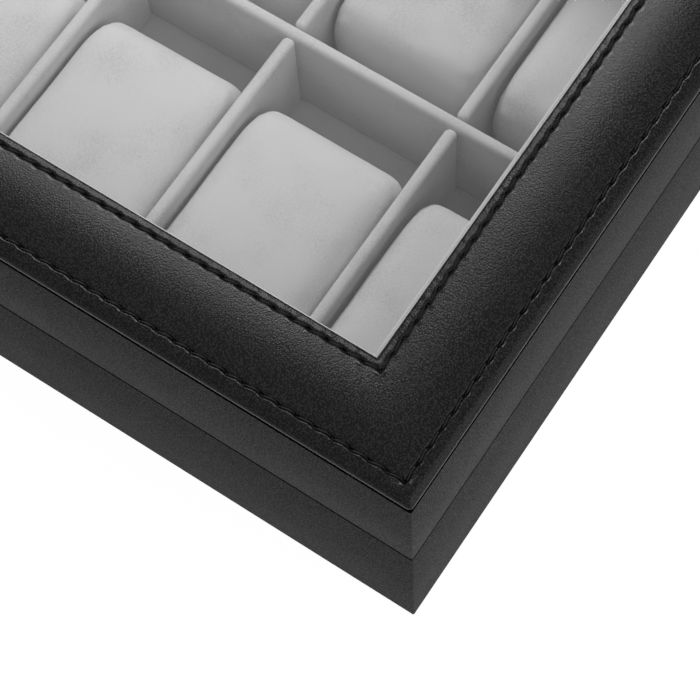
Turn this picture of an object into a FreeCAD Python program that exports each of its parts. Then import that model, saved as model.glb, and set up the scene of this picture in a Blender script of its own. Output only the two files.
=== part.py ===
"""Watch box: a leatherette base and lid, a padded leather frame round a glass window, and velvet
slots that hold watch pillows.

The frame is the box's own: X along its length, Y to the back and Z up, with the origin at the
middle of the felt that it stands on. All sizes are in millimetres.
"""
import FreeCAD, Part
import math
import os
import re
import Sketcher

COLUMNS = 6
ROWS = 2
PILLOW_STEPS = 5
SIDES = ("left", "right")
# How far the middle of a quarter circle lies in from each side of its square corner, in radii.
ARC_MIDDLE = 1 - math.sqrt(0.5)

SIZES = {
    # Outer shape
    "box_length": 300.0,
    "box_depth": 204.0,
    "base_rim_height": 43.0,
    "lid_gap": 0.4,
    "lid_side_height": 32.9,
    "corner_radius": 1.2,
    # Walls, from the outside in
    "skin_thickness": 0.8,
    "board_thickness": 4.5,
    "lining_thickness": 1.2,
    # Underside and floor
    "felt_thickness": 1.0,
    "felt_stand": 0.3,
    "felt_inset": 5.0,
    "floor_thickness": 4.5,
    "floor_lining_thickness": 1.0,
    # Top of the lid
    "frame_width": 25.0,
    "rail_thickness": 3.0,
    "skirt_thickness": 1.0,
    "glass_thickness": 2.0,
    "glass_clearance": 0.4,
    "window_lining_thickness": 2.0,
    "window_lip": 2.9,
    "pad_shoulder_height": 3.2,
    "pad_crown": 0.8,
    "pad_roll_width": 1.8,
    "pad_edge_inset": 0.5,
    # Dividers
    "divider_thickness": 3.5,
    "divider_height": 31.1,
    "divider_rounding": 1.2,
    "lap_clearance": 0.1,
    # Watch pillows
    "pillow_front_gap": 6.5,
    "pillow_back_gap": 13.5,
    "pillow_clearance": 0.35,
    "pillow_side_height": 28.0,
    "pillow_crown": 2.5,
    "pillow_end_flat": 1.0,
    "pillow_edge_rounding": 4.0,
    "pillow_edge_draw": 3.0,
    # Hinges
    "hinge_inset": 55.0,
    "leaf_length": 30.0,
    "leaf_height": 12.0,
    "leaf_thickness": 1.2,
    "leaf_relief": 0.4,
    "leaf_screw_inset": 6.0,
    "knuckle_radius": 2.0,
    "knuckle_gap": 0.2,
    "hinge_stand": 0.5,
    "pin_radius": 1.0,
    "pin_clearance": 0.05,
    "pin_head_radius": 1.6,
    "pin_head_height": 0.5,
    # Clasp
    "clasp_width": 16.0,
    "clasp_plate_height": 13.0,
    "clasp_plate_thickness": 1.2,
    "clasp_screw_inset": 4.0,
    "clasp_gap": 0.35,
    "tongue_thickness": 1.0,
    "tongue_drop": 8.0,
    "lip_drop": 2.0,
    "lip_flare": 1.8,
    "catch_thickness": 0.8,
    "catch_wing": 6.0,
    "catch_height": 11.0,
    "catch_setback": 1.0,
    "bead_radius": 0.5,
    "bead_drop": 6.0,
    # Screws
    "screw_radius": 0.9,
    "screw_bite": 2.5,
    "screw_head_radius": 1.7,
    "screw_head_top_radius": 1.1,
    "screw_head_height": 0.7,
    "screw_clearance": 0.05,
}

PLACES = {
    # Heights
    "lid_bottom": "base_rim_height + lid_gap",
    "lid_top": "lid_bottom + lid_side_height",
    "glass_top": "lid_top - rail_thickness",
    "glass_bottom": "glass_top - glass_thickness",
    "floor_top": "felt_thickness + floor_thickness",
    "slot_floor": "floor_top + floor_lining_thickness",
    "hinge_height": "base_rim_height + lid_gap / 2",
    # Plan of the walls, measured from the middle of the box
    "half_length": "box_length / 2",
    "half_depth": "box_depth / 2",
    "board_half_length": "half_length - skin_thickness",
    "board_half_depth": "half_depth - skin_thickness",
    "lining_half_length": "board_half_length - board_thickness",
    "lining_half_depth": "board_half_depth - board_thickness",
    "room_half_length": "lining_half_length - lining_thickness",
    "room_half_depth": "lining_half_depth - lining_thickness",
    # Opening in the velvet frame under the glass
    "opening_half_length": "half_length - frame_width - window_lip",
    "opening_half_depth": "half_depth - frame_width - window_lip",
    # Slots
    "slot_width": f"(2 * room_half_length - {COLUMNS - 1} * divider_thickness) / {COLUMNS}",
    "slot_pitch": "slot_width + divider_thickness",
    "slot_depth": f"(2 * room_half_depth - {ROWS - 1} * divider_thickness) / {ROWS}",
    "pillow_width": "slot_width - 2 * pillow_clearance",
    "pillow_length": "slot_depth - pillow_front_gap - pillow_back_gap",
    # Hinges and clasp
    "hinge_reach": "half_length - hinge_inset",
    "hinge_axis": "half_depth + knuckle_radius + hinge_stand",
    "leaf_start": "knuckle_radius + leaf_relief",
    "knuckle_length": "(leaf_length - 2 * knuckle_gap) / 3",
    "tongue_back": "catch_thickness + bead_radius + clasp_gap",
    "tongue_front": "tongue_back + tongue_thickness",
}

document = FreeCAD.newDocument("watch_box")
sub_parts = []


def formula(text):
    """Turn the size names in a formula into references that the document can follow."""
    def reference(match):
        name = match.group(0)
        return ("Sizes." if name in SIZES else "Places.") + name
    return re.sub(r"[a-z]\w*", reference, str(text))


def make_sheet():
    """Write every driving size into the sheet, one named cell each."""
    sheet = document.addObject("Spreadsheet::Sheet", "Sizes")
    for row, (name, value) in enumerate(SIZES.items(), start=1):
        sheet.set(f"A{row}", name)
        sheet.set(f"B{row}", str(value))
        sheet.setAlias(f"B{row}", name)
    document.recompute()
    return sheet


def make_places():
    """Work out the shared places and fits from the sheet."""
    places = document.addObject("App::VarSet", "Places")
    for name in PLACES:
        places.addProperty("App::PropertyFloat", name)
    for name, text in PLACES.items():
        places.setExpression(name, formula(text))
    document.recompute()
    return places


def bind(piece, **formulas):
    """Tie properties of a piece to formulas; at_x, at_y and at_z place it."""
    for name, text in formulas.items():
        target = "Placement.Base." + name[-1] if name.startswith("at_") else name
        piece.setExpression(target, formula(text))
    return piece


def keep(piece, label):
    """Name a finished piece and put it on the list of sub-parts."""
    piece.Label = label
    sub_parts.append(piece)
    return piece


def block(name, length, width, height, x, y, z):
    """A rectangular board, sheet or strip from its sizes and its low corner."""
    piece = document.addObject("Part::Box", name)
    return bind(piece, Length=length, Width=width, Height=height, at_x=x, at_y=y, at_z=z)


def rod(name, radius, height, turn, x, y, z):
    """A round bar from its foot along the axis that the turn gives."""
    piece = document.addObject("Part::Cylinder", name)
    piece.Placement = FreeCAD.Placement(FreeCAD.Vector(), turn)
    return bind(piece, Radius=radius, Height=height, at_x=x, at_y=y, at_z=z)


ALONG_X = FreeCAD.Rotation(FreeCAD.Vector(0, 1, 0), 90)
TO_BACK = FreeCAD.Rotation(FreeCAD.Vector(1, 0, 0), -90)
TO_FRONT = FreeCAD.Rotation(FreeCAD.Vector(1, 0, 0), 90)


def join(name, pieces):
    """Fuse touching pieces into one solid."""
    fused = document.addObject("Part::MultiFuse", name)
    fused.Shapes = pieces
    return fused


def group(name, pieces):
    """Gather separate solids under one name."""
    gathered = document.addObject("Part::Compound", name)
    gathered.Links = pieces
    return gathered


def cut(name, base, tool):
    """Take a tool out of a base."""
    piece = document.addObject("Part::Cut", name)
    piece.Base = base
    piece.Tool = tool
    return piece


def new_sketch(body, name, role, height="0"):
    """A sketch on one of the body's own planes, raised to a height along the plane's normal."""
    plane = next(item for item in body.Origin.OriginFeatures if item.Role == role)
    sketch = body.newObject("Sketcher::SketchObject", name)
    sketch.AttachmentSupport = [(plane, "")]
    sketch.MapMode = "FlatFace"
    sketch.setExpression("AttachmentOffset.Base.z", formula(height))
    return sketch


def add_polygon(sketch, corners):
    """Draw a closed outline; every corner is held by two formulas measured from the origin."""
    first = sketch.GeometryCount
    count = len(corners)
    start = [FreeCAD.Vector(index, index * index, 0) for index in range(count)]
    for index in range(count):
        sketch.addGeometry(Part.LineSegment(start[index], start[(index + 1) % count]))
    for index, corner in enumerate(corners):
        line = first + index
        following = first + (index + 1) % count
        sketch.addConstraint(Sketcher.Constraint("Coincident", line, 2, following, 1))
        for kind, text in zip(("DistanceX", "DistanceY"), corner):
            held = sketch.addConstraint(Sketcher.Constraint(kind, -1, 1, line, 1, 1.0))
            sketch.setExpression(f"Constraints[{held}]", formula(text))


def rectangle(low_x, low_y, high_x, high_y):
    """The four corners of a rectangle, anticlockwise."""
    return [(low_x, low_y), (high_x, low_y), (high_x, high_y), (low_x, high_y)]


def pad(body, name, sketch, length, both_ways=False):
    """Raise a sketch into a solid."""
    feature = body.newObject("PartDesign::Pad", name)
    feature.Profile = sketch
    feature.Midplane = both_ways
    feature.setExpression("Length", formula(length))
    return feature


def pocket(body, name, sketch, depth=None):
    """Sink a sketch into the solid, to a depth or right through, and make sure that it cut."""
    before = body.Shape.Volume
    feature = body.newObject("PartDesign::Pocket", name)
    feature.Profile = sketch
    if depth is None:
        feature.Type = "ThroughAll"
        feature.Midplane = True
    else:
        feature.setExpression("Length", formula(depth))
    document.recompute()
    assert body.Shape.Volume < before, f"{name} cut nothing"
    return feature


def round_edges(body, name, base, radius, chosen):
    """Round the edges of a feature that a test picks out."""
    document.recompute()
    edges = enumerate(base.Shape.Edges, start=1)
    feature = body.newObject("PartDesign::Fillet", name)
    feature.Base = (base, [f"Edge{number}" for number, edge in edges if chosen(edge)])
    feature.setExpression("Radius", formula(radius))
    document.recompute()
    return feature


def edge_direction(edge):
    """Unit direction of a straight edge."""
    return (edge.Vertexes[-1].Point - edge.Vertexes[0].Point).normalize()


def is_upright(edge):
    """True for an edge that runs along Z."""
    return abs(edge_direction(edge).z) > 0.99


def walls(prefix, ending, half_length, half_depth, thickness, low, high):
    """Four boards round a rectangle: front and back run through, left and right fit between them."""
    height = f"{high} - ({low})"
    between = f"2 * ({half_depth} - {thickness})"
    low_y = f"{thickness} - {half_depth}"
    plans = {
        "front": (f"2 * {half_length}", thickness, f"-{half_length}", f"-{half_depth}"),
        "back": (f"2 * {half_length}", thickness, f"-{half_length}", f"{half_depth} - {thickness}"),
        "left": (thickness, between, f"-{half_length}", low_y),
        "right": (thickness, between, f"{half_length} - {thickness}", low_y),
    }
    made = {}
    for side, (length, width, x, y) in plans.items():
        made[side] = block(f"{prefix}_{side}_{ending}", length, width, height, x, y, low)
    return made


def screw_set(name, spots, turn, face_y, plate, outward):
    """Screws through a plate on the front or back face, with the holes that they need."""
    screws = []
    holes = []
    for number, (x, z) in enumerate(spots, start=1):
        foot = f"{face_y} - ({outward}) * (skin_thickness + screw_bite)"
        length = f"{plate} + skin_thickness + screw_bite"
        shank = rod(f"{name}_shank_{number}", "screw_radius", length, turn, x, foot, z)
        head = document.addObject("Part::Cone", f"{name}_head_{number}")
        head.Placement = FreeCAD.Placement(FreeCAD.Vector(), turn)
        bind(head, Radius1="screw_head_radius", Radius2="screw_head_top_radius",
             Height="screw_head_height", at_x=x, at_y=f"{face_y} + ({outward}) * {plate}", at_z=z)
        screws.append(join(f"{name}_{number}", [shank, head]))
        holes.append(rod(f"{name}_hole_{number}", "screw_radius + screw_clearance", length, turn,
                         x, foot, z))
    return group(name, screws), group(name + "_holes", holes)


def wrap(label, bottom, top, ledges, holes):
    """The leatherette skin round the walls; each ledge is a cavity cut down from its own height."""
    body = document.addObject("PartDesign::Body", label + "_body")
    outline = new_sketch(body, label + "_outline", "XY_Plane", bottom)
    add_polygon(outline, rectangle("-half_length", "-half_depth", "half_length", "half_depth"))
    solid = pad(body, label + "_pad", outline, f"{top} - {bottom}")
    round_edges(body, label + "_corners", solid, "corner_radius", is_upright)
    for number, (half_length, half_depth, high, low) in enumerate(ledges, start=1):
        plan = new_sketch(body, f"{label}_plan_{number}", "XY_Plane", high)
        add_polygon(plan, rectangle(f"-({half_length})", f"-({half_depth})", half_length, half_depth))
        pocket(body, f"{label}_cavity_{number}", plan, f"{high} - ({low})")
    keep(cut(label, body, holes), label)


def pierced_walls(prefix, boards, holes):
    """Keep four boards, with screw holes through the front and back ones."""
    for side, board in boards.items():
        label = f"{prefix}_{side}_board"
        keep(cut(label + "_drilled", board, holes) if side in ("front", "back") else board, label)


def hinge_spots(direction):
    """Screw places of both hinges, above or below their axis."""
    height = f"hinge_height + ({direction}) * (leaf_start + (leaf_height - leaf_start) / 2)"
    step = "(leaf_length / 2 - leaf_screw_inset)"
    return [(f"({side}) * hinge_reach + ({end}) * {step}", height)
            for side in (-1, 1) for end in (-1, 1)]


def make_screws():
    """The four sets of screws, for the hinge leaves and for the two halves of the clasp."""
    clasp_step = "(clasp_width / 2 - clasp_screw_inset)"
    catch_step = "(clasp_width / 2 + catch_wing / 2)"
    clasp_height = "hinge_height + clasp_plate_height - clasp_screw_inset"
    catch_height = "base_rim_height - catch_setback - catch_height / 2"
    clasp_spots = [(f"({side}) * {clasp_step}", clasp_height) for side in (-1, 1)]
    catch_spots = [(f"({side}) * {catch_step}", catch_height) for side in (-1, 1)]
    plans = {
        "hinge_base_screws": (hinge_spots(-1), TO_BACK, "half_depth", "leaf_thickness", 1),
        "hinge_lid_screws": (hinge_spots(1), TO_BACK, "half_depth", "leaf_thickness", 1),
        "clasp_screws": (clasp_spots, TO_FRONT, "-half_depth", "clasp_plate_thickness", -1),
        "catch_screws": (catch_spots, TO_FRONT, "-half_depth", "catch_thickness", -1),
    }
    holes = {}
    for label, plan in plans.items():
        screws, holes[label] = screw_set(label, *plan)
        keep(screws, label)
    return holes


def make_base(holes):
    """Felt, floor, walls, skin and lining of the base."""
    base_holes = group("base_holes", [holes["hinge_base_screws"], holes["catch_screws"]])
    felt_half_length = "half_length - felt_inset"
    felt_half_depth = "half_depth - felt_inset"
    keep(block("felt", f"2 * ({felt_half_length})", f"2 * ({felt_half_depth})", "felt_thickness",
               f"-({felt_half_length})", f"-({felt_half_depth})", "0"), "bottom_felt")
    for label, thickness, height in (("base_floor", "floor_thickness", "felt_thickness"),
                                     ("floor_lining", "floor_lining_thickness", "floor_top")):
        keep(block(label + "_sheet", "2 * lining_half_length", "2 * lining_half_depth", thickness,
                   "-lining_half_length", "-lining_half_depth", height), label)
    board_top = "base_rim_height - skin_thickness"
    boards = walls("base", "blank", "board_half_length", "board_half_depth", "board_thickness",
                   "felt_thickness", board_top)
    pierced_walls("base", boards, base_holes)
    wrap("base_wrap", "felt_stand", "base_rim_height", [
        ("lining_half_length", "lining_half_depth", "base_rim_height", board_top),
        ("board_half_length", "board_half_depth", board_top, "felt_thickness"),
        (felt_half_length, felt_half_depth, "felt_thickness", "felt_stand"),
    ], base_holes)
    linings = walls("base", "sheet", "lining_half_length", "lining_half_depth", "lining_thickness",
                    "slot_floor", "base_rim_height")
    for side, lining in linings.items():
        keep(lining, f"base_{side}_lining")


def divider_blank(name, section_plane, length):
    """A velvet-covered divider with a softly rounded top, standing on its own origin."""
    body = document.addObject("PartDesign::Body", name)
    section = new_sketch(body, name + "_section", section_plane)
    half = "divider_thickness / 2"
    add_polygon(section, rectangle(f"-({half})", "0", half, "divider_height"))
    solid = pad(body, name + "_pad", section, length, both_ways=True)
    document.recompute()
    top = solid.Shape.BoundBox.ZMax
    long_edge = max(edge.Length for edge in solid.Shape.Edges)

    def is_top_edge(edge):
        on_top = all(abs(vertex.Z - top) < 0.01 for vertex in edge.Vertexes)
        return on_top and edge.Length > 0.99 * long_edge

    round_edges(body, name + "_rounding", solid, "divider_rounding", is_top_edge)
    return body


def make_dividers():
    """One long divider notched from below, and short ones notched from above to lap with it."""
    notch = "(divider_thickness / 2 + lap_clearance)"
    lap = "divider_height / 2"
    places = [f"({column} * slot_pitch - {COLUMNS / 2} * slot_pitch)" for column in range(1, COLUMNS)]
    long_one = divider_blank("long_divider_body", "YZ_Plane", "2 * room_half_length")
    notches = new_sketch(long_one, "long_notches", "XZ_Plane")
    for place in places:
        add_polygon(notches, rectangle(f"{place} - {notch}", "0", f"{place} + {notch}",
                                       f"{lap} + lap_clearance"))
    pocket(long_one, "long_notch_cut", notches)
    keep(bind(long_one, at_z="slot_floor"), "long_divider")
    for number, place in enumerate(places, start=1):
        short = divider_blank(f"short_divider_body_{number}", "XZ_Plane", "2 * room_half_depth")
        slot = new_sketch(short, f"short_notch_{number}", "YZ_Plane")
        add_polygon(slot, rectangle(f"-{notch}", lap, notch, "divider_height + lap_clearance"))
        pocket(short, f"short_notch_cut_{number}", slot)
        keep(bind(short, at_x=place, at_z="slot_floor"), f"short_divider_{number}")


def pillow_section(x, half_length, low, high, radius):
    """A lengthwise slice through a pillow: a rectangle with round corners, in the plane at x."""
    bulge = radius * ARC_MIDDLE

    def corner(end, level, inward, upward):
        """Quarter circle from the end face round to the top or bottom face."""
        return [FreeCAD.Vector(x, end, level + upward * radius),
                FreeCAD.Vector(x, end + inward * bulge, level + upward * bulge),
                FreeCAD.Vector(x, end + inward * radius, level)]

    corners = [corner(-half_length, high, 1, -1), corner(half_length, high, -1, -1)[::-1],
               corner(half_length, low, -1, 1), corner(-half_length, low, 1, 1)[::-1]]
    edges = []
    for index, points in enumerate(corners):
        following = corners[(index + 1) % len(corners)]
        edges.append(Part.Arc(*points).toShape())
        edges.append(Part.LineSegment(points[-1], following[0]).toShape())
    return Part.Wire(edges)


def pillow_shape(sheet, places):
    """A stuffed pillow: crowned across its width, with drawn-in sides and round strap ends."""
    half_width = places.pillow_width / 2
    half_length = places.pillow_length / 2
    shoulder = half_width - sheet.pillow_edge_rounding
    sections = []
    for step in range(-PILLOW_STEPS, PILLOW_STEPS + 1):
        x = half_width * math.sin(math.pi / 2 * step / PILLOW_STEPS)
        past_shoulder = max(0, abs(x) - shoulder) / sheet.pillow_edge_rounding
        inset = sheet.pillow_edge_draw * (1 - math.sqrt(max(0, 1 - past_shoulder ** 2)))
        crown = sheet.pillow_crown * (1 - (x / half_width) ** 2)
        high = sheet.pillow_side_height + crown - inset
        radius = (high - inset) / 2 - sheet.pillow_end_flat
        sections.append(pillow_section(x, half_length - inset, inset, high, radius))
    return Part.makeLoft(sections, True, True)


def make_pillows(sheet, places):
    """One pillow to a slot, front row first, each nearer to the front of its slot."""
    shape = pillow_shape(sheet, places)
    number = 0
    for row in range(ROWS):
        for column in range(COLUMNS):
            number += 1
            pillow = document.addObject("Part::Feature", f"pillow_{number}")
            pillow.Shape = shape
            front = f"{row} * (slot_depth + divider_thickness) - room_half_depth"
            bind(pillow, at_x=f"{column - (COLUMNS - 1) / 2} * slot_pitch",
                 at_y=f"{front} + pillow_front_gap + pillow_length / 2", at_z="slot_floor")
            keep(pillow, f"watch_pillow_{number}")


def make_lid(holes):
    """Walls, skin, lining, top rails, glass and the velvet frame under the glass."""
    lid_holes = group("lid_holes", [holes["hinge_lid_screws"], holes["clasp_screws"]])
    board_bottom = "lid_bottom + skin_thickness"
    boards = walls("lid", "blank", "board_half_length", "board_half_depth", "board_thickness",
                   board_bottom, "glass_top")
    pierced_walls("lid", boards, lid_holes)
    wrap("lid_wrap", "lid_bottom", "lid_top", [
        ("board_half_length", "board_half_depth", "lid_top", board_bottom),
        ("lining_half_length", "lining_half_depth", board_bottom, "lid_bottom"),
    ], lid_holes)
    linings = walls("lid", "sheet", "lining_half_length", "lining_half_depth", "lining_thickness",
                    "lid_bottom", "glass_bottom")
    for side, lining in linings.items():
        keep(lining, f"lid_{side}_lining")
    rails = walls("lid", "strip", "board_half_length", "board_half_depth",
                  "(frame_width - skirt_thickness - skin_thickness)", "glass_top", "lid_top")
    for side, rail in rails.items():
        keep(rail, f"top_{side}_rail")
    pane_half_length = "(lining_half_length - glass_clearance)"
    pane_half_depth = "(lining_half_depth - glass_clearance)"
    keep(block("pane", f"2 * {pane_half_length}", f"2 * {pane_half_depth}", "glass_thickness",
               f"-{pane_half_length}", f"-{pane_half_depth}", "glass_bottom"), "glass_pane")
    plans = {"sheet": ("room_half_length", "room_half_depth"),
             "opening": ("opening_half_length", "opening_half_depth")}
    under_glass = {name: block(f"window_{name}", f"2 * {half_x}", f"2 * {half_y}", "window_lining_thickness",
                               f"-{half_x}", f"-{half_y}", "glass_bottom - window_lining_thickness")
                   for name, (half_x, half_y) in plans.items()}
    keep(cut("window_ring", under_glass["sheet"], under_glass["opening"]), "window_lining")


def pad_section(sheet, places):
    """Outline of the padded frame across one side: distance in from the edge, and height."""
    width = sheet.frame_width
    low = places.lid_top
    shoulder = low + sheet.pad_shoulder_height
    crown = shoulder + sheet.pad_crown
    roll = sheet.pad_roll_width
    inner_shoulder = shoulder - sheet.pad_crown
    outer_foot = (sheet.pad_edge_inset, low)
    outer_top = (roll, shoulder)
    inner_top = (width - roll, shoulder)
    inner_side = (width, (low + inner_shoulder) / 2)
    skirt = (width, places.glass_top)
    skirt_back = (width - sheet.skirt_thickness, places.glass_top)
    rail_corner = (width - sheet.skirt_thickness, low)
    outer_belly = (0, low + sheet.pad_shoulder_height / 2)
    inner_drop = shoulder - inner_side[1]
    inner_belly = (width - roll * ARC_MIDDLE, shoulder - inner_drop * ARC_MIDDLE)
    return [("arc", outer_foot, outer_belly, outer_top), ("arc", outer_top, (width / 2, crown), inner_top),
            ("arc", inner_top, inner_belly, inner_side), ("line", inner_side, skirt),
            ("line", skirt, skirt_back), ("line", skirt_back, rail_corner),
            ("line", rail_corner, outer_foot)]


def pad_side(section, length, depth, reach):
    """One mitred side of the padded frame, along the front of a box of this length and depth."""
    def place(spot):
        return FreeCAD.Vector(-length / 2, spot[0] - depth / 2, spot[1])

    edges = []
    for kind, *spots in section:
        points = [place(spot) for spot in spots]
        curve = Part.Arc(*points) if kind == "arc" else Part.LineSegment(*points)
        edges.append(curve.toShape())
    bar = Part.Face(Part.Wire(edges)).extrude(FreeCAD.Vector(length, 0, 0))
    plan = [(-length / 2, -depth / 2), (length / 2, -depth / 2),
            (length / 2 - reach, reach - depth / 2), (reach - length / 2, reach - depth / 2)]
    outline = Part.makePolygon([FreeCAD.Vector(x, y, 0) for x, y in plan + plan[:1]])
    mitre = Part.Face(outline).extrude(FreeCAD.Vector(0, 0, 2 * bar.BoundBox.ZMax))
    return bar.common(mitre)


def make_pad(sheet, places):
    """The padded leather frame: four mitred sides in one piece, with rounded outer corners."""
    section = pad_section(sheet, places)
    reach = sheet.frame_width + sheet.skirt_thickness
    upright = FreeCAD.Vector(0, 0, 1)
    centre = FreeCAD.Vector()
    front = pad_side(section, sheet.box_length, sheet.box_depth, reach)
    right = pad_side(section, sheet.box_depth, sheet.box_length, reach)
    right.rotate(centre, upright, 90)
    back = front.copy()
    back.rotate(centre, upright, 180)
    left = right.copy()
    left.rotate(centre, upright, 180)
    ring = front.fuse([right, back, left]).removeSplitter()
    corner = Part.makeBox(sheet.box_length, sheet.box_depth, 2 * ring.BoundBox.ZMax,
                          FreeCAD.Vector(-places.half_length, -places.half_depth, 0))
    rounded = corner.makeFillet(sheet.corner_radius, [edge for edge in corner.Edges if is_upright(edge)])
    frame = document.addObject("Part::Feature", "pad")
    frame.Shape = ring.common(rounded).Solids[0]
    keep(frame, "top_pad")


def leaf(label, side, direction, knuckles, holes):
    """A hinge leaf: a flat plate on the back face and its knuckles round the hinge axis."""
    middle = f"({side}) * hinge_reach"
    low_x = f"{middle} - leaf_length / 2"
    plate_height = "leaf_height - leaf_start"
    plate_low = "hinge_height + leaf_start" if direction > 0 else "hinge_height - leaf_height"
    web_low = "hinge_height" if direction > 0 else "hinge_height - leaf_start"
    solids = [block(label + "_plate", "leaf_length", "leaf_thickness", plate_height,
                    low_x, "half_depth", plate_low)]
    bores = [holes]
    for index in knuckles:
        x = f"{low_x} + {index} * (knuckle_length + knuckle_gap)"
        solids.append(block(f"{label}_web_{index}", "knuckle_length", "leaf_thickness", "leaf_start",
                            x, "half_depth", web_low))
        solids.append(rod(f"{label}_knuckle_{index}", "knuckle_radius", "knuckle_length", ALONG_X,
                          x, "hinge_axis", "hinge_height"))
    bores.append(rod(label + "_bore", "pin_radius + pin_clearance", "leaf_length", ALONG_X,
                     low_x, "hinge_axis", "hinge_height"))
    keep(cut(label + "_cut", join(label + "_solid", solids), group(label + "_bores", bores)), label)


def make_hinges(holes):
    """Two butt hinges on the back: a base leaf, a lid leaf and a headed pin each."""
    for side_name, side in zip(SIDES, (-1, 1)):
        leaf(f"hinge_base_leaf_{side_name}", side, -1, (0, 2), holes["hinge_base_screws"])
        leaf(f"hinge_lid_leaf_{side_name}", side, 1, (1,), holes["hinge_lid_screws"])
        start = f"({side}) * hinge_reach - leaf_length / 2"
        label = f"hinge_pin_{side_name}"
        stem = rod(label + "_stem", "pin_radius", "leaf_length", ALONG_X, start, "hinge_axis", "hinge_height")
        heads = [rod(f"{label}_head_{end}", "pin_head_radius", "pin_head_height", ALONG_X, x,
                     "hinge_axis", "hinge_height")
                 for end, x in enumerate((f"{start} - pin_head_height", f"{start} + leaf_length"))]
        keep(join(label + "_solid", [stem] + heads), label)


def make_clasp(holes):
    """A snap clasp at the front: a tongue on the lid hangs over a beaded catch plate on the base."""
    body = document.addObject("PartDesign::Body", "clasp_body")
    profile = new_sketch(body, "clasp_profile", "YZ_Plane")
    foot = "lid_gap"
    lip = "-(tongue_drop + lip_drop)"
    outline = [("0", foot), ("0", "clasp_plate_height"), ("clasp_plate_thickness", "clasp_plate_height"),
               ("clasp_plate_thickness", f"{foot} + tongue_front"), ("tongue_front", foot),
               ("tongue_front", "-tongue_drop"), ("tongue_front + lip_flare", lip),
               ("tongue_front + lip_flare - tongue_thickness", lip), ("tongue_back", "-tongue_drop"),
               ("tongue_back", foot)]
    add_polygon(profile, [(f"-half_depth - ({reach})", f"hinge_height + {height}")
                          for reach, height in outline])
    pad(body, "clasp_pad", profile, "clasp_width", both_ways=True)
    keep(cut("clasp_cut", body, holes["clasp_screws"]), "lid_clasp")
    half = "(clasp_width / 2 + catch_wing)"
    plate = block("catch_plate", f"2 * {half}", "catch_thickness", "catch_height", f"-{half}",
                  "-half_depth - catch_thickness", "base_rim_height - catch_setback - catch_height")
    bead = rod("catch_bead", "bead_radius", "clasp_width", ALONG_X, "-clasp_width / 2",
               "-half_depth - catch_thickness", "base_rim_height - bead_drop")
    keep(cut("catch_cut", join("catch_solid", [plate, bead]), holes["catch_screws"]), "base_catch")


def check_and_write():
    """Stop on any failed feature or bad solid, then write one file for each sub-part."""
    document.recompute()
    for item in document.Objects:
        assert not {"Invalid", "Error"} & set(item.State), f"{item.Name} failed: {item.State}"
    for piece in sub_parts:
        assert not piece.Shape.isNull() and piece.Shape.isValid(), f"{piece.Label} is not a sound solid"
        assert piece.Shape.Solids, f"{piece.Label} holds no solid"
    os.makedirs("parts", exist_ok=True)
    for piece in sub_parts:
        piece.Shape.exportStep(f"parts/{piece.Label}.step")
    print(f"wrote {len(sub_parts)} sub-parts")


def main():
    sheet = make_sheet()
    places = make_places()
    holes = make_screws()
    document.recompute()
    make_base(holes)
    make_dividers()
    make_pillows(sheet, places)
    make_lid(holes)
    make_pad(sheet, places)
    make_hinges(holes)
    make_clasp(holes)
    check_and_write()


main()
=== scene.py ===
# %% [markdown]
# # A watch box with a glass lid
# The photograph looks down on the front right corner of a black box. A padded, stitched leather frame
# runs round a glass window, the sides are matte leatherette, and grey velvet slots hold a pillow each.
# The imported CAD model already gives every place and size. This lesson dresses it, one piece at a time.

# %% Load the CAD frame
import math

import bmesh
import bpy
from mathutils import Matrix, Vector, noise


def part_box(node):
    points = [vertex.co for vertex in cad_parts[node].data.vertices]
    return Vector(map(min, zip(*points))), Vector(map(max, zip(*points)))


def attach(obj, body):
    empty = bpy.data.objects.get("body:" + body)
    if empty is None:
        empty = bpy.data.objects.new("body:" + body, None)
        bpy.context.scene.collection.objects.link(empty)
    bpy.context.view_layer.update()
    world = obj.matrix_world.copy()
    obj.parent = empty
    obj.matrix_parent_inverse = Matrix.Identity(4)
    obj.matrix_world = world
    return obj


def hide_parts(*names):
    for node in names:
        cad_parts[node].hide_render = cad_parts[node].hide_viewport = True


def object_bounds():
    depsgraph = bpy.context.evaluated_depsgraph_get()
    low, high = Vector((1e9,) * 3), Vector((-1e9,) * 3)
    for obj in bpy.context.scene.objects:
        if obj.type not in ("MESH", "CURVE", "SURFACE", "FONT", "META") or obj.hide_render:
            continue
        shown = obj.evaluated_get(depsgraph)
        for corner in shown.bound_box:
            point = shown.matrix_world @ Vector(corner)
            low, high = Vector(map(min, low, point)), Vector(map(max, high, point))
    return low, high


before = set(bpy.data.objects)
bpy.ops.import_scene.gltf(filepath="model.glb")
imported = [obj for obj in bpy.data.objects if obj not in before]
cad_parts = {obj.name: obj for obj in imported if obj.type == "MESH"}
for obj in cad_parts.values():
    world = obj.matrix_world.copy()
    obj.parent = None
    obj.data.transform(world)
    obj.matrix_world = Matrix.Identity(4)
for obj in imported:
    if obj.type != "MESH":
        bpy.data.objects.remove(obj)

MM = 0.001
cad_low, cad_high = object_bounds()
print("CAD box from", tuple(cad_low), "to", tuple(cad_high))

# %% [markdown]
# ## The camera
# A product photograph like this one is taken from well above with a long lens. Its straight edges give
# the bearing, the height and the small turn of the picture, so the camera is set by those three angles
# and by its place, and nothing has to be dragged into position by eye.

# %% Set up the camera
CAMERA_PLACE = Vector((0.23987, -0.23252, 0.53616))
CAMERA_BEARING = math.radians(38.13)
CAMERA_HEIGHT = math.radians(66.85)
CAMERA_ROLL = math.radians(-4.88)
SENSOR_WIDTH = 36
LENS_LENGTH = 118.04
NEAREST_SEEN = 0.01


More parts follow.
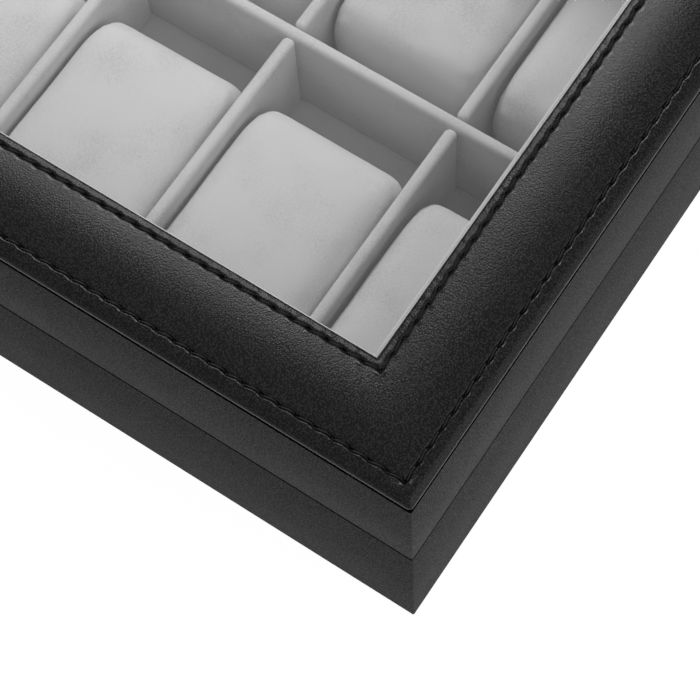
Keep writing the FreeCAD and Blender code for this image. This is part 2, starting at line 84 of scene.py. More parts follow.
def camera_matrix():
    """The camera's place and turn: level first, then rolled about its own line of sight."""
    back = Vector((math.sin(CAMERA_BEARING) * math.cos(CAMERA_HEIGHT),
                   -math.cos(CAMERA_BEARING) * math.cos(CAMERA_HEIGHT),
                   math.sin(CAMERA_HEIGHT)))
    level = (-back).to_track_quat("-Z", "Y").to_matrix().to_4x4()
    return Matrix.Translation(CAMERA_PLACE) @ level @ Matrix.Rotation(CAMERA_ROLL, 4, "Z")


camera_data = bpy.data.cameras.new("camera")
camera_data.sensor_width = SENSOR_WIDTH
camera_data.lens = LENS_LENGTH
camera_data.clip_start = NEAREST_SEEN
camera = bpy.data.objects.new("camera", camera_data)
camera.matrix_world = camera_matrix()
bpy.context.collection.objects.link(camera)
bpy.context.scene.camera = camera
bpy.context.scene.view_settings.view_transform = "Standard"
print("camera at", tuple(camera.location), "with a lens of", camera_data.lens, "mm")

# %% [markdown]
# ## Nodes without the mouse
# The floor, the room and every finish below are small node graphs. Adding a node, setting its values and
# linking its sockets takes many clicks, or many lines, so one helper does all three: an input given as a
# socket is linked, and an input given as a number or a colour is set.

# %% Helpers for shader nodes
def add_node(tree, kind, inputs=None, **settings):
    """A new shader node in this tree, with its settings made and its inputs linked or set."""
    made = tree.nodes.new("ShaderNode" + kind)
    for setting, value in settings.items():
        setattr(made, setting, value)
    for socket, value in (inputs or {}).items():
        if isinstance(value, bpy.types.NodeSocket):
            tree.links.new(value, made.inputs[socket])
        else:
            made.inputs[socket].default_value = value
    return made


def calculate(tree, operation, *values):
    """The result of a Math node on these numbers or sockets."""
    return add_node(tree, "Math", dict(enumerate(values)), operation=operation).outputs[0]


print("node helpers ready")

# %% [markdown]
# ## Floor and room
# The photograph has a pure white ground. A brighter lamp would wash out the box, so the floor and the
# room are white only to the camera, to reflections and to glass, and stay a plain grey for the light
# that they throw on the box. The floor keeps part of its own shading, so a soft shadow stays under the box.

# %% Make the white floor and the room
ROOM_GREY = 0.46
PAPER_GREY = 0.95
FLOOR_SHADE_SHARE = 0.1
FLOOR_GLOW = 1.06
FLOOR_HALF_WIDTH = 30
WHITE = (1, 1, 1, 1)


def grey(level):
    """An RGB triple of one grey."""
    return (level, level, level)


def seen_directly(tree):
    """1 for rays from the camera, a reflection or glass, and 0 for the light on the box."""
    path = add_node(tree, "LightPath")
    seen = path.outputs["Is Camera Ray"]
    for kind in ("Is Glossy Ray", "Is Transmission Ray"):
        seen = calculate(tree, "MAXIMUM", seen, path.outputs[kind])
    return seen


def make_room():
    """The world: white where it is seen, grey where it lights."""
    world = bpy.data.worlds.new("room")
    world.use_nodes = True
    tree = world.node_tree
    tree.nodes.clear()
    dim = add_node(tree, "Background", {"Color": (*grey(ROOM_GREY), 1)})
    white = add_node(tree, "Background", {"Color": WHITE})
    mixed = add_node(tree, "MixShader", {0: seen_directly(tree), 1: dim.outputs[0], 2: white.outputs[0]})
    add_node(tree, "OutputWorld", {"Surface": mixed.outputs[0]})
    bpy.context.scene.world = world


def floor_finish():
    """White paper: part of what is seen glows evenly, and the rest is shaded like any matte sheet."""
    material = bpy.data.materials.new("white_floor")
    material.use_nodes = True
    tree = material.node_tree
    tree.nodes.clear()
    matte = add_node(tree, "BsdfDiffuse", {"Color": (*grey(PAPER_GREY), 1)})
    glow = add_node(tree, "Emission", {"Color": WHITE, "Strength": FLOOR_GLOW})
    share = calculate(tree, "MULTIPLY", seen_directly(tree), 1 - FLOOR_SHADE_SHARE)
    mixed = add_node(tree, "MixShader", {0: share, 1: matte.outputs[0], 2: glow.outputs[0]})
    add_node(tree, "OutputMaterial", {"Surface": mixed.outputs[0]})
    return material


def make_floor():
    """A sheet of white paper under the box, large enough for every view."""
    form = bmesh.new()
    bmesh.ops.create_grid(form, x_segments=1, y_segments=1, size=FLOOR_HALF_WIDTH)
    mesh = bpy.data.meshes.new("floor")
    form.to_mesh(mesh)
    form.free()
    mesh.materials.append(floor_finish())
    floor = bpy.data.objects.new("floor", mesh)
    floor.location.z = cad_low.z
    bpy.context.collection.objects.link(floor)


make_room()
make_floor()
print("floor at height", cad_low.z)

# %% [markdown]
# ## Soft lamps
# Two softboxes light the box. One hangs behind and to the left, where the inner slopes of the padded
# frame mirror it into the camera, and that gives the leather its soft sheen near the window. The other
# stands to the right, so that the right side is lighter than the front.

# %% Hang the lamps
def softbox(name, direction, distance, size, watts):
    """A square lamp in this direction from the middle of the box, turned towards it."""
    lamp = bpy.data.lights.new(name, "AREA")
    lamp.size = size
    lamp.energy = watts
    holder = bpy.data.objects.new(name, lamp)
    away = Vector(direction).normalized()
    holder.location = (cad_low + cad_high) / 2 + away * distance
    holder.rotation_euler = away.to_track_quat("Z", "Y").to_euler()
    bpy.context.collection.objects.link(holder)


softbox("lamp_behind", direction=(-0.33, 0.55, 0.77), distance=1.1, size=0.4, watts=8.6)
softbox("lamp_right", direction=(0.93, -0.15, 0.36), distance=1.3, size=1.5, watts=12.5)

# %% [markdown]
# ## What the finishes share
# Leather, velvet, thread and metal all start from the Principled shader and vary it with patterns.
# Object coordinates are in metres, so a pattern has the same size on every piece. A noise gives clouds
# or specks, a map range turns a pattern into useful values, and a colour ramp turns it into a colour.

# %% Helpers for finishes
def new_finish(name, **sockets):
    """A new material, its node tree and its Principled shader, with these sockets set."""
    material = bpy.data.materials.new(name)
    material.use_nodes = True
    tree = material.node_tree
    shader = tree.nodes["Principled BSDF"]
    for socket, value in sockets.items():
        shader.inputs[socket.replace("_", " ")].default_value = value
    return material, tree, shader


def object_coordinates(tree):
    """Places on the piece itself, in metres."""
    return add_node(tree, "TexCoord").outputs["Object"]


def noise_pattern(tree, coordinates, scale, detail):
    """A cloudy pattern of this scale, with this many finer layers."""
    inputs = {"Vector": coordinates, "Scale": scale, "Detail": detail}
    return add_node(tree, "TexNoise", inputs).outputs[0]


def map_range(tree, value, start, end, first, last):
    """A value that goes from first to last as the given one goes from start to end."""
    inputs = {"Value": value, "From Min": start, "From Max": end, "To Min": first, "To Max": last}
    return add_node(tree, "MapRange", inputs).outputs[0]


def blend_colours(tree, factor, dark, pale, start, end):
    """A colour that goes from dark to pale, two RGB triples, as the factor goes from start to end."""
    ramp = add_node(tree, "ValToRGB", {"Fac": factor})
    for element, position, colour in zip(ramp.color_ramp.elements, (start, end), (dark, pale)):
        element.position = position
        element.color = (*colour, 1)
    return ramp.outputs["Color"]


print("finish helpers ready")

# %% [markdown]
# ## Leather for the lid frame
# The frame is covered in black leather with a fine pebbled grain, about half a millimetre to a pebble.
# Voronoi cells are the natural choice: the distance from each cell's centre makes a small dome. The dome
# feeds the bump, and the colour too: pebble tops are painted paler as a highlight and the creases between
# pebbles darker as painted shade. Where a needle has pulled the leather tight it is smooth and shiny, and an
# attribute of the mesh says where that is.

# %% Mix the frame leather
PEBBLE = 0.45 * MM
PORES_PER_PEBBLE = 1.7
DOME_REACH = 0.8
CREASE_SHADE_END = 0.3
TOP_HIGHLIGHT_START = 0.8
POLISH_SCALE = 70
POLISH_SPREAD = 0.03
STRETCHED_RELIEF = 0.15
NOISE_LOW = 0.3
NOISE_HIGH = 0.7


def pebble_leather(name, dark, pale, roughness, specular, depth, stretch_gloss=0.0):
    """Grained leather: pebbles this many metres high, painted pale on top as a highlight and dark between as
    crease shade.

    Where the piece's attribute "stretched" is 1, the grain is pulled smooth and glossier by stretch_gloss.
    A piece without that attribute counts as 0 all over.
    """
    material, tree, shader = new_finish(name, Specular_IOR_Level=specular)
    coordinates = object_coordinates(tree)
    pebbles = add_node(tree, "TexVoronoi", {"Vector": coordinates, "Scale": 1 / PEBBLE})
    pores = noise_pattern(tree, coordinates, PORES_PER_PEBBLE / PEBBLE, detail=2)
    clouds = noise_pattern(tree, coordinates, POLISH_SCALE, detail=3)
    stretched = add_node(tree, "Attribute", attribute_name="stretched").outputs["Fac"]
    dome = map_range(tree, pebbles.outputs["Distance"], 0, DOME_REACH, 1, 0)
    height = calculate(tree, "ADD", dome, pores)
    relief = map_range(tree, stretched, 0, 1, 1, STRETCHED_RELIEF)
    bump = add_node(tree, "Bump", {"Strength": relief, "Distance": depth, "Height": height})
    # Painted light: pebble tops are paler as a painted highlight, and the creases darker as painted shade.
    colour = blend_colours(tree, dome, grey(dark), grey(pale), CREASE_SHADE_END, TOP_HIGHLIGHT_START)
    dull = roughness + POLISH_SPREAD
    bright = roughness - POLISH_SPREAD
    polish = map_range(tree, clouds, NOISE_LOW, NOISE_HIGH, dull, bright)
    gloss = calculate(tree, "MULTIPLY_ADD", stretched, -stretch_gloss, polish)
    tree.links.new(colour, shader.inputs["Base Color"])
    tree.links.new(gloss, shader.inputs["Roughness"])
    tree.links.new(bump.outputs[0], shader.inputs["Normal"])
    return material


frame_leather = pebble_leather("frame_leather", dark=0.001, pale=0.019, roughness=0.27, specular=0.12,
                               depth=0.03 * MM, stretch_gloss=0.12)
print("made", frame_leather.name)

# %% [markdown]
# ## Leatherette for the sides
# The sides are wrapped in a matte, paper-like leatherette. The same recipe serves, with less gloss, a
# flatter grain and a paler grey. A second mix, nearly black and without gloss, is painted shade for the rims
# of the wraps, where hardly any light gets in.

# %% Mix the side leatherette
side_leatherette = pebble_leather("side_leatherette", dark=0.013, pale=0.064, roughness=0.75, specular=0.08,
                                  depth=0.02 * MM)
# Nearly black leather for the rims of the wraps: painted shade where the gaps are.
painted_shade_rim = pebble_leather("painted_shade_rim", dark=0.001, pale=0.003, roughness=0.9, specular=0.02,
                            depth=0.02 * MM)
print("made", side_leatherette.name, "and", painted_shade_rim.name)

# %% [markdown]
# ## Velvet for slots and pillows
# Velvet is a dense pile of short fibres. It glows softly at grazing angles, which the sheen of the
# Principled shader gives, and the pile lies a little differently from place to place, which shows as
# faint clouds. A very fine noise in the bump breaks up the surface.

# %% Mix the velvets
FIBRE_SCALE = 2600
FIBRE_DEPTH = 0.08 * MM
FIBRE_STRENGTH = 0.6
PILE_SCALE = 55
TONE_START = 0.6
TONE_END = 1.0


def velvet(name, dark, pale):
    """Short grey pile, with clouds where the pile leans and a fine fibre bump."""
    material, tree, shader = new_finish(name, Roughness=0.95, Specular_IOR_Level=0.05,
                                        Sheen_Weight=0.15, Sheen_Roughness=0.5)
    coordinates = object_coordinates(tree)
    fibres = noise_pattern(tree, coordinates, FIBRE_SCALE, detail=2)
    clouds = noise_pattern(tree, coordinates, PILE_SCALE, detail=4)
    tone = calculate(tree, "ADD", clouds, fibres)
    colour = blend_colours(tree, tone, grey(dark), grey(pale), TONE_START, TONE_END)
    bump = add_node(tree, "Bump", {"Strength": FIBRE_STRENGTH, "Distance": FIBRE_DEPTH, "Height": fibres})
    tree.links.new(colour, shader.inputs["Base Color"])
    tree.links.new(bump.outputs[0], shader.inputs["Normal"])
    return material


slot_velvet = velvet("slot_velvet", dark=0.39, pale=0.53)
pillow_velvet = velvet("pillow_velvet", dark=0.405, pale=0.54)
print("made", slot_velvet.name, "and", pillow_velvet.name)

# %% [markdown]
# ## Thread, glass, metal, board and felt
# The thread is black and slightly glossy. The glass is a thin clear pane: a Principled shader with a low
# alpha keeps its faint reflection and lets the velvet through. The fittings are brushed nickel, the
# floor board is pressed wood fibre, and the foot of the box is black felt.

# %% Mix the small finishes
SPECK_STRENGTH = 0.7


def noisy_finish(name, scale, dark, pale, depth, stretch=(1, 1, 1), **sockets):
    """A finish whose colour and bump follow one noise, stretched along the axes if asked."""
    material, tree, shader = new_finish(name, **sockets)
    spread = add_node(tree, "Mapping", {"Vector": object_coordinates(tree), "Scale": stretch})
    specks = noise_pattern(tree, spread.outputs[0], scale, detail=4)
    colour = blend_colours(tree, specks, dark, pale, NOISE_LOW, NOISE_HIGH)
    bump = add_node(tree, "Bump", {"Strength": SPECK_STRENGTH, "Distance": depth, "Height": specks})
    tree.links.new(colour, shader.inputs["Base Color"])
    tree.links.new(bump.outputs[0], shader.inputs["Normal"])
    return material


thread_finish = noisy_finish("black_thread", scale=6000, dark=grey(0.003), pale=grey(0.012),
                             depth=0.02 * MM, Roughness=0.4, Specular_IOR_Level=0.12)
nickel = noisy_finish("brushed_nickel", scale=900, dark=grey(0.5), pale=grey(0.66), depth=0.01 * MM,
                      stretch=(0.06, 1, 1), Metallic=1, Roughness=0.3)
fibre_board = noisy_finish("fibre_board", scale=1800, dark=(0.22, 0.15, 0.09), pale=(0.36, 0.26, 0.17),
                           depth=0.05 * MM, Roughness=0.9)
foot_felt = noisy_finish("foot_felt", scale=2200, dark=grey(0.012), pale=grey(0.03), depth=0.1 * MM,
                         Roughness=1.0, Specular_IOR_Level=0.05)
clear_glass = noisy_finish("clear_glass", scale=30, dark=grey(0.78), pale=grey(0.8), depth=0.002 * MM,
                           Roughness=0.03, Alpha=0.04)
print("made", [item.name for item in bpy.data.materials])

# %% [markdown]
# ## From bmesh to a finished piece
# Every piece below is shaped in a bmesh and ends the same way: doubles merged and normals turned outward
# where that is needed, the mesh given its finish, the object hung under the body it moves with, and the CAD
# nodes it stands for hidden.

# %% A helper that finishes a piece
SHARP_ANGLE = math.radians(40)
MERGE_DISTANCE = 0.001 * MM


def finish_piece(form, name, body, finish, replaced=(), merge=True):
    """Turns a bmesh into an object that rides on a body and replaces these CAD nodes."""
    if merge:
        bmesh.ops.remove_doubles(form, verts=form.verts, dist=MERGE_DISTANCE)
        bmesh.ops.recalc_face_normals(form, faces=form.faces)
    mesh = bpy.data.meshes.new(name)
    form.to_mesh(mesh)
    form.free()
    mesh.materials.append(finish)
    mesh.shade_smooth()
    mesh.set_sharp_from_angle(angle=SHARP_ANGLE)
    piece = bpy.data.objects.new(name, mesh)
    bpy.context.collection.objects.link(piece)
    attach(piece, body)
    if replaced:
        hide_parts(*replaced)
    print(name, "has", len(mesh.polygons), "faces")
    return piece


print("piece helper ready")

# %% [markdown]
# ## The height of the padded leather
# Leather is pulled over foam on the four rails of the lid. It swells between two rows of stitches and
# dips into a groove along each. At every needle hole the thread pulls the groove deeper and pushes up a
# small lip beside it, and along the window the leather puckers. Formulas for these add up to one height
# for every place, so the stitches can be laid on the same leather later.

# %% Describe the leather's height
pad_low, pad_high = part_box("top_pad")
rail_low, rail_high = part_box("top_front_rail")
HALF_LENGTH = pad_high.x
HALF_DEPTH = pad_high.y
PAD_FOOT = rail_high.z
FRAME_WIDTH = 25 * MM
ROLL_WIDTH = 3.2 * MM
ROLL_HEIGHT = 3.0 * MM
INNER_ROLL = 0.8 * MM
PAD_CROWN = pad_high.z - PAD_FOOT - ROLL_HEIGHT
LOWEST_SWELL = -0.2
CORNER_BLEND = 9 * MM
STITCH_STEP = 4.65 * MM
OUTER_ROW = 4.3 * MM
INNER_ROW = FRAME_WIDTH - 2.5 * MM
ROW_WANDER = 0.15 * MM
GROOVE_DEPTH = 0.85 * MM
GROOVE_WIDTH = 0.37 * MM
GROOVE_PULSE = 0.3
LIP_HEIGHTS = {OUTER_ROW: 0.25 * MM, INNER_ROW: 0.05 * MM}
LIP_PLACE = 1.1 * MM
LIP_WIDTH = 0.6 * MM
LIP_UNEVEN = 0.4
LIP_SHARPNESS = 3
PUCKER = 0.09 * MM
PUCKER_STEP = 0.9 * MM
PUCKER_REACH = 1.2 * MM


def stitch_count(half_side, row):
    """How many stitches fit along one side in the row at this distance from the outer edge."""
    return round(2 * (half_side - row) / STITCH_STEP)


def stitch_phase(along, half_side, row):
    """Angle round the stitch at this place: a whole turn from one needle hole to the next."""
    share = (along / (half_side - row) + 1) / 2
    return 2 * math.pi * share * stitch_count(half_side, row)


def soft_minimum(first, second, blend):
    """The smaller of two values, rounded where they are nearly equal."""
    overlap = max(blend - abs(first - second), 0) / blend
    return min(first, second) - overlap ** 2 * blend / 4


def distance_from_row(along, inset, half_side, row):
    """How far in a place is from a row's line, which wanders a little from hole to hole."""
    return inset - row + ROW_WANDER * math.sin(stitch_phase(along, half_side, row))


def lip_share(along, inset, half_side, row):
    """How much of the lip that a row's needle holes push up is here, from 0 to about 1."""
    off_crest = distance_from_row(along, inset, half_side, row) + LIP_PLACE
    uneven = 1 + LIP_UNEVEN * noise.noise((along / STITCH_STEP, row / MM, half_side / MM))
    near_hole = max(0, math.cos(stitch_phase(along, half_side, row))) ** LIP_SHARPNESS
    return near_hole * uneven * max(0, 1 - abs(off_crest) / LIP_WIDTH)


def pad_height(along, inset, half_side):
    """Height of the leather above the rails, at a place along one side and a distance in from its edge."""
    across = soft_minimum(inset, half_side - abs(along), CORNER_BLEND)
    middle = (ROLL_WIDTH + FRAME_WIDTH - INNER_ROLL) / 2
    swell = 1 - ((across - middle) / (middle - ROLL_WIDTH)) ** 2
    height = ROLL_HEIGHT + PAD_CROWN * max(swell, LOWEST_SWELL)
    for row, lip_height in LIP_HEIGHTS.items():
        pulse = math.cos(stitch_phase(along, half_side, row))
        depth = GROOVE_DEPTH * (1 - GROOVE_PULSE + GROOVE_PULSE * pulse)
        height -= depth * math.exp(-(distance_from_row(along, inset, half_side, row) / GROOVE_WIDTH) ** 2)
        height += lip_height * lip_share(along, inset, half_side, row)
    wrinkle = noise.noise((along / PUCKER_STEP, half_side / PUCKER_STEP, 0))
    return height + PUCKER * wrinkle * math.exp(-((FRAME_WIDTH - inset) / PUCKER_REACH - 1) ** 2)


print("the leather swells by", round(PAD_CROWN / MM, 2), "mm")

# %% [markdown]
# ## The section of the frame
# Cut through, the leather starts in a tuck under the outer edge, rolls over that edge, goes across the
# top, turns down to the glass and comes back underneath. The section is a list of stops along that way.
# They are close together at the stitches and far apart between them, so the mesh is fine only where it
# has to be.

# %% Lay out the section
RAIL_INSET = HALF_DEPTH + rail_low.y
FOOT_INSET = 0.5 * MM
TUCK_DEPTH = 0.9 * MM
BELLY_HEIGHT = 0.8 * MM
SKIRT_THICKNESS = 1.0 * MM
GROOVE_SPAN = 1.0 * MM
LIP_SPAN = 1.7 * MM
OUTER_ROW_STEPS = 10
SWELL_STEPS = 11
INNER_ROW_STEPS = 15


def arc_stops(place, start, end, steps):
    """Places at even angles from start to end degrees, without the last one."""
    angles = [math.radians(start + (end - start) * step / steps) for step in range(steps)]
    return [place(angle) for angle in angles]


def belly(angle):
    """A place on the small round under the outer edge."""
    return FOOT_INSET * (1 - math.cos(angle)), BELLY_HEIGHT * (1 + math.sin(angle))


def outer_roll(angle):
    """A place on the large round over the outer edge."""
    rise = (ROLL_HEIGHT - BELLY_HEIGHT) * math.sin(angle)
    return ROLL_WIDTH * (1 - math.cos(angle)), BELLY_HEIGHT + rise


def inner_roll(angle):
    """A place on the small round where the leather turns down to the glass."""
    top = pad_height(STITCH_STEP, FRAME_WIDTH - INNER_ROLL, HALF_LENGTH)
    return FRAME_WIDTH - INNER_ROLL * (1 - math.sin(angle)), top - INNER_ROLL * (1 - math.cos(angle))


def top_stops():
    """Distances in from the edge across the top: each run has a start and a number of steps."""
    end_of_top = FRAME_WIDTH - INNER_ROLL
    runs = [(ROLL_WIDTH, 1), (OUTER_ROW - GROOVE_SPAN, OUTER_ROW_STEPS),
            (OUTER_ROW + GROOVE_SPAN, SWELL_STEPS), (INNER_ROW - LIP_SPAN, INNER_ROW_STEPS), (end_of_top, 0)]
    stops = []
    for (start, steps), (end, _) in zip(runs, runs[1:]):
        stops += [start + (end - start) * step / steps for step in range(steps)]
    return stops + [end_of_top]


def pad_section():
    """All stops in order, each a distance in from the outer edge and a height above the rails.

    The height is None across the top, where pad_height gives it.
    """
    glass_top = pad_low.z - PAD_FOOT
    skirt_back = FRAME_WIDTH - SKIRT_THICKNESS
    stops = [(RAIL_INSET, 0), (RAIL_INSET, -TUCK_DEPTH), (FOOT_INSET, -TUCK_DEPTH)]
    stops += arc_stops(belly, start=-90, end=0, steps=4)
    stops += arc_stops(outer_roll, start=0, end=90, steps=9)
    stops += [(inset, None) for inset in top_stops()]
    stops += arc_stops(inner_roll, start=15, end=105, steps=6)
    stops += [(FRAME_WIDTH, glass_top), (skirt_back, glass_top), (skirt_back, 0), (RAIL_INSET, 0)]
    return stops


section = pad_section()
print("the section has", len(section), "stops")

# %% [markdown]
# ## The padded leather frame
# One grid for each side is bent over the section. Its ends are cut at forty-five degrees by making each
# row of vertices as long as the frame is at that distance in, so the four sides meet corner to corner
# and merge into one skin. Beside the needle holes the vertices are marked as stretched for the leather.

# %% Bend four grids over the section
COLUMNS_PER_STITCH = 7
CORNER_ROUND = 1.1 * MM
CORNER_FADE = 6 * MM
STRETCH_SPREAD = 3


def rounded_corner(along, inset, half_side):
    """Moves a place near the end of a side onto a small round corner. Gives along and inset again."""
    radius = CORNER_ROUND * max(0, 1 - inset / CORNER_FADE)
    from_corner = half_side - inset - abs(along)
    if from_corner >= radius or radius <= 0:
        return along, inset
    angle = math.pi / 4 * (1 - from_corner / radius)
    reach = half_side - inset - radius + radius * math.sin(angle)
    return math.copysign(reach, along), inset + radius * (1 - math.cos(angle))


def pad_side(form, half_side, half_other, turn):
    """One side of the padded frame: a grid bent over the section, then turned into place."""
    columns = COLUMNS_PER_STITCH * stitch_count(half_side, OUTER_ROW)
    stretched = form.verts.layers.float["stretched"]
    grid = bmesh.ops.create_grid(form, x_segments=columns, y_segments=len(section) - 1, size=1)
    for vert in grid["verts"]:
        inset, height = section[round((vert.co.y + 1) / 2 * (len(section) - 1))]
        along = vert.co.x * (half_side - inset)
        if height is None:
            height = pad_height(along, inset, half_side)
            nearest_lip = max(lip_share(along, inset, half_side, row) for row in LIP_HEIGHTS)
            vert[stretched] = min(1, STRETCH_SPREAD * nearest_lip)
        along, inset = rounded_corner(along, inset, half_side)
        vert.co = (along, inset - half_other, PAD_FOOT + height)
    bmesh.ops.rotate(form, verts=grid["verts"], matrix=Matrix.Rotation(turn, 3, "Z"))


def side_halves(quarter):
    """Half the length of a side, and its distance from the middle of the box."""
    return (HALF_LENGTH, HALF_DEPTH) if quarter % 2 == 0 else (HALF_DEPTH, HALF_LENGTH)


form = bmesh.new()
form.verts.layers.float.new("stretched")
for quarter in range(4):
    pad_side(form, *side_halves(quarter), quarter * math.pi / 2)
padded_frame = finish_piece(form, "padded_frame", "lid", frame_leather, ["top_pad"])

# %% [markdown]
# ## The stitches
# Each stitch is a short length of thread that dives into a needle hole at both ends and lies a little
# aslant. There are several hundred, so each is only a small ball, stretched and laid in its groove.

# %% Sew the two rows
THREAD_RADIUS = 0.27 * MM
STITCH_SHARE = 0.8
STITCH_SLANT = math.radians(8)
STITCH_SINKS = {OUTER_ROW: 0.1 * MM, INNER_ROW: 0.25 * MM}


def thread_ball():
    """The mesh of one stitch before it is stretched: a ball with its poles along X."""
    form = bmesh.new()
    lie_down = Matrix.Rotation(math.pi / 2, 4, "Y")
    bmesh.ops.create_uvsphere(form, u_segments=8, v_segments=6, radius=1, matrix=lie_down)
    mesh = bpy.data.meshes.new("thread_ball")
    form.to_mesh(mesh)
    form.free()
    return mesh


def sew_row(form, ball, row):
    """One stitch after another along the four sides of a row. Gives their number."""
    sewn = 0
    for quarter in range(4):
        half_side, half_other = side_halves(quarter)
        count = stitch_count(half_side, row)
        step = 2 * (half_side - row) / count
        shape = Matrix.Diagonal((step * STITCH_SHARE / 2, THREAD_RADIUS, THREAD_RADIUS, 1))
        for number in range(count):
            along = (number + 0.5) * step - (half_side - row)
            height = PAD_FOOT + pad_height(along, row, half_side) + THREAD_RADIUS - STITCH_SINKS[row]
            lie = (Matrix.Rotation(quarter * math.pi / 2, 4, "Z")
                   @ Matrix.Translation((along, row - half_other, height))
                   @ Matrix.Rotation(STITCH_SLANT, 4, "Z") @ shape)
            stitch = ball.copy()
            stitch.transform(lie)
            form.from_mesh(stitch)
            bpy.data.meshes.remove(stitch)
        sewn += count
    return sewn


form = bmesh.new()
ball = thread_ball()
print("stitches:", [sew_row(form, ball, row) for row in (OUTER_ROW, INNER_ROW)])
bpy.data.meshes.remove(ball)
finish_piece(form, "frame_stitches", "lid", thread_finish)

# %% [markdown]
# ## The leatherette skins
# Lid and base are wooden trays wrapped in leatherette. Each wrap is a box without its top and bottom,
# thickened inward, with a small round on all its edges. The faces at its rims take the nearly black finish
# as painted shade, so that the lines under the padded frame and between lid and base are crisp and dark.

# %% Helpers for blocks with round edges
def add_block(form, low, high):
    """A box from one corner to the other, added to the bmesh. Gives its vertices."""
    low, high = Vector(low), Vector(high)
    size = Matrix.Diagonal((*(high - low), 1))
    return bmesh.ops.create_cube(form, size=1, matrix=Matrix.Translation((low + high) / 2) @ size)["verts"]


def level_faces(form):
    """The faces of the bmesh that look up or down."""
    return [face for face in form.faces if abs(face.normal.z) > 0.5]


def round_off(form, edges, radius, segments):
    """Bevels these edges to a round of this radius."""
    bmesh.ops.bevel(form, geom=edges, offset=radius, offset_type="OFFSET", segments=segments, profile=0.5,
                    affect="EDGES", material=-1, clamp_overlap=True)


print("block helpers ready")

# %% Wrap the lid and the base
SKIN = 0.8 * MM
RIM_ROUND = 0.38 * MM
PAINTED_SHADE_BAND = 0.2 * MM


def leatherette_skin(node, name, body, lowered=0.0):
    """A thin upright wall round the CAD wrap's outline, with round edges and rims painted black as shade."""
    low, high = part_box(node)
    form = bmesh.new()
    add_block(form, low, high - Vector((0, 0, lowered)))
    bmesh.ops.delete(form, geom=level_faces(form), context="FACES_ONLY")
    bmesh.ops.recalc_face_normals(form, faces=form.faces)
    bmesh.ops.solidify(form, geom=form.faces[:], thickness=SKIN)
    round_off(form, form.edges[:], RIM_ROUND, segments=4)
    heights = [vert.co.z for vert in form.verts]
    lower_rim = min(heights) + PAINTED_SHADE_BAND
    upper_rim = max(heights) - PAINTED_SHADE_BAND
    # Faces at the top and bottom rims take the nearly black finish: painted shade for the gaps there.
    for face in form.faces:
        height = face.calc_center_median().z
        if height < lower_rim or height > upper_rim:
            face.material_index = 1
    skin = finish_piece(form, name, body, side_leatherette, [node], merge=False)
    skin.data.materials.append(painted_shade_rim)


leatherette_skin("lid_wrap", "lid_skin", "lid", lowered=TUCK_DEPTH)
leatherette_skin("base_wrap", "base_skin", "base")

# %% [markdown]
# ## The velvet linings
# Thin boards covered in velvet line the walls of lid and tray, and the tray's floor. The velvet is folded
# over each board, so a plain block with round edges is all that is needed. The boards of one body that
# line its walls are one piece.

# %% Line the lid and the tray
LINING_ROUND = 0.5 * MM
FLOOR_ROUND = 0.3 * MM


def edges_of(verts):
    """All edges at these vertices, each of them once and in a fixed order."""
    return list(dict.fromkeys(edge for vert in verts for edge in vert.link_edges))


def velvet_boards(name, body, spans, radius, replaced):
    """Boards with round edges, each given by two corners, in one piece."""
    form = bmesh.new()
    for low, high in spans:
        round_off(form, edges_of(add_block(form, low, high)), radius, segments=5)
    finish_piece(form, name, body, slot_velvet, replaced)


for body in ("base", "lid"):
    linings = [f"{body}_{side}_lining" for side in ("front", "back", "left", "right")]
    velvet_boards(f"{body}_velvet", body, [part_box(node) for node in linings], LINING_ROUND, linings)
velvet_boards("floor_velvet", "base", [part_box("floor_lining")], FLOOR_ROUND, ["floor_lining"])

# %% [markdown]
# ## The velvet frame under the glass
# A velvet board with a window in it holds the glass from below. It reaches a little further in than the
# leather, and that edge shows as a pale line inside the right side of the window. An inset of the top
# and bottom faces of a slab gives the window, and bridging the two openings gives its inner walls.

# %% Cut the velvet frame
WINDOW_LIP = 2.9 * MM
WINDOW_HALF_LENGTH = HALF_LENGTH - FRAME_WIDTH - WINDOW_LIP
WINDOW_ROUND = 0.7 * MM


def velvet_window():
    """A flat ring: a slab whose top and bottom faces are opened and joined through."""
    low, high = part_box("window_lining")
    border = high.x - WINDOW_HALF_LENGTH
    form = bmesh.new()
    add_block(form, low, high)
    flats = level_faces(form)
    bmesh.ops.inset_individual(form, faces=flats, thickness=border, use_even_offset=True)
    rims = [edge for face in flats for edge in face.edges]
    bmesh.ops.delete(form, geom=flats, context="FACES_ONLY")
    bmesh.ops.bridge_loops(form, edges=rims)
    corners = [edge for edge in form.edges if edge.calc_face_angle(0) > SHARP_ANGLE]
    round_off(form, corners, WINDOW_ROUND, segments=4)
    finish_piece(form, "window_velvet", "lid", slot_velvet, ["window_lining"])


velvet_window()

# %% [markdown]
# ## The dividers
# Dividers part the tray into slots. They are thin boards with velvet folded over them, so their edges are
# nearly half round. The long one runs through, and each short one is two halves that butt against it.

# %% Part the tray into slots
DIVIDER_ROUND = 1.5 * MM
SHORT_DIVIDERS = 5
long_low, long_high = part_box("long_divider")
velvet_boards("long_velvet_divider", "base", [(long_low, long_high)], DIVIDER_ROUND, ["long_divider"])
for number in range(1, SHORT_DIVIDERS + 1):
    low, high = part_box(f"short_divider_{number}")
    halves = [(low, (high.x, long_low.y, high.z)), ((low.x, long_high.y, low.z), high)]
    velvet_boards(f"short_velvet_divider_{number}", "base", halves, DIVIDER_ROUND,
                  [f"short_divider_{number}"])

# %% [markdown]
# ## The watch pillows
# Each slot holds a small stuffed pillow that a watch strap goes round. It is sewn as a block with large
# rounds at the ends, where the strap bends, and small ones along its sides. The block here is a little
# smaller than the pillow, because the stuffing comes next.

